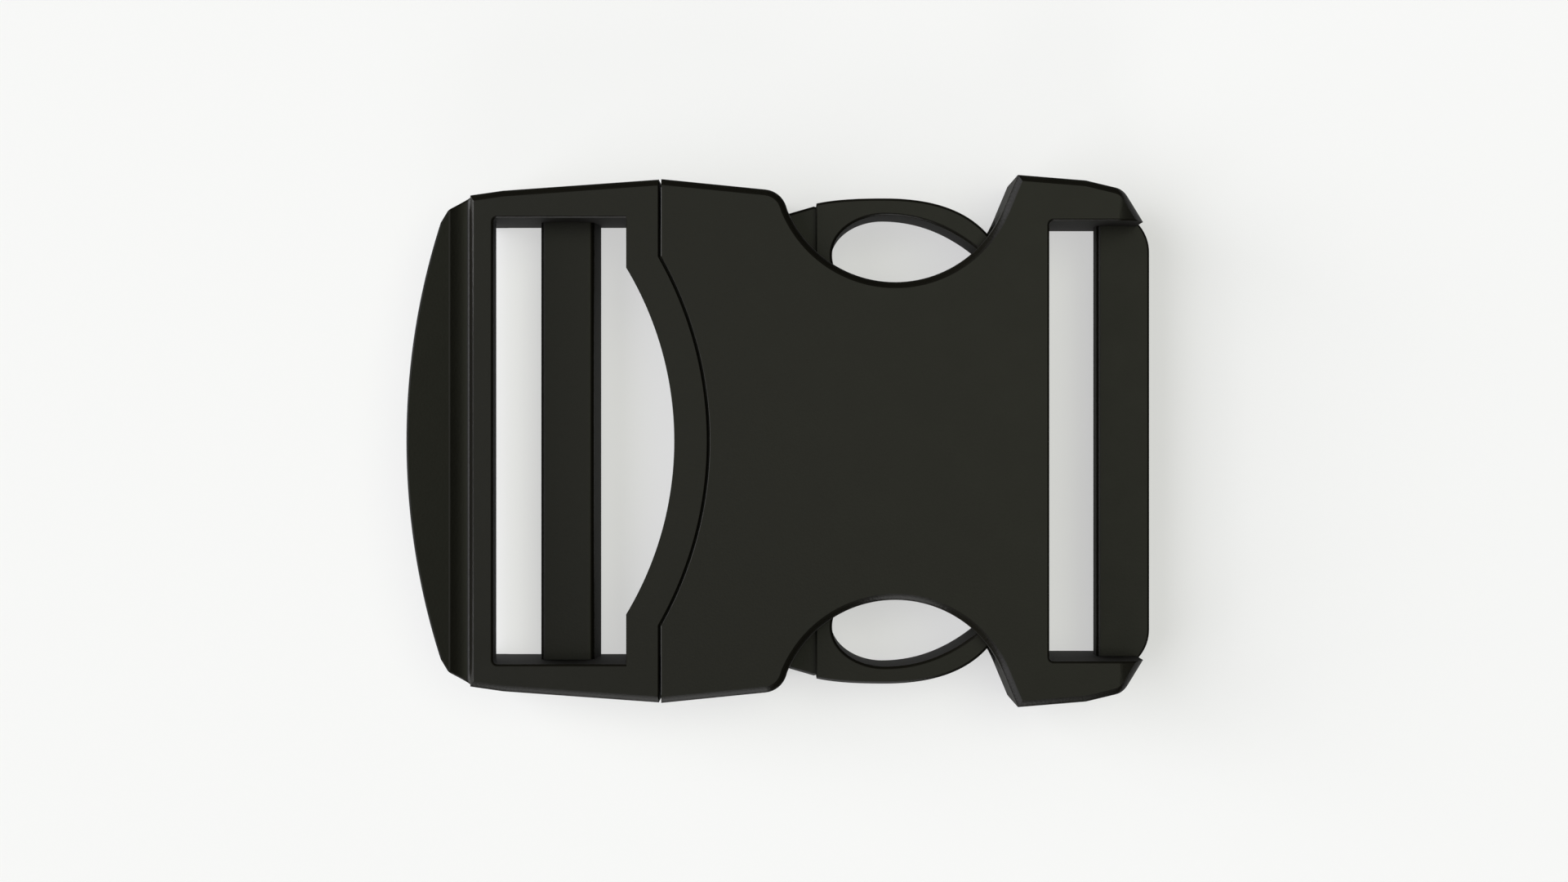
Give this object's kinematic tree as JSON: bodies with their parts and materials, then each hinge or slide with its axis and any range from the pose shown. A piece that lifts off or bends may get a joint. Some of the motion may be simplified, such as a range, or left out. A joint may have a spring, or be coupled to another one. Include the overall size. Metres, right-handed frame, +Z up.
{
  "type": "side-release buckle",
  "caption": "Flat side-release buckle for wide webbing: ladder-lock plug with sprung latch arms and thumb loops, and a socket with a fixed strap bar.",
  "frame": {"origin": "middle of the bottom of the closed buckle's box", "axes": "+X from the plug's lift tab to the socket's strap bar, +Y to the left, +Z up out of the face"},
  "size_m": [0.0874, 0.062, 0.0136],
  "materials": {
    "socket_plastic": "satin black moulded plastic",
    "plug_plastic": "satin black moulded plastic",
    "arm_plastic": "satin black moulded plastic"
  },
  "bodies": {
    "socket": {"socket_shell": "socket_plastic", "socket_strap_bar": "socket_plastic"},
    "plug": {"plug_frame": "plug_plastic", "plug_lift_tab": "plug_plastic", "plug_ladder_bar": "plug_plastic", "plug_guide_tongue": "plug_plastic"},
    "left_arm": {"left_latch_arm": "arm_plastic", "left_thumb_loop": "arm_plastic"},
    "right_arm": {"right_latch_arm": "arm_plastic", "right_thumb_loop": "arm_plastic"}
  },
  "joints": [
    {"name": "plug_slide", "type": "slide", "parent": "socket", "child": "plug", "axis": [-1, 0, 0], "range_m": [0, 0.043], "deforming": ["left_latch_arm", "left_thumb_loop", "right_latch_arm", "right_thumb_loop"]},
    {"name": "left_arm_flex", "type": "hinge", "parent": "plug", "child": "left_arm", "pos_m": [-0.01255, 0.0235, 0.0065], "axis": [0, 0, -1], "range_deg": [0, 9.5], "stiffness_Nm_per_rad": 1.2},
    {"name": "right_arm_flex", "type": "hinge", "parent": "plug", "child": "right_arm", "pos_m": [-0.01255, -0.0235, 0.0065], "axis": [0, 0, 1], "range_deg": [0, 9.5], "stiffness_Nm_per_rad": 1.2}
  ]
}
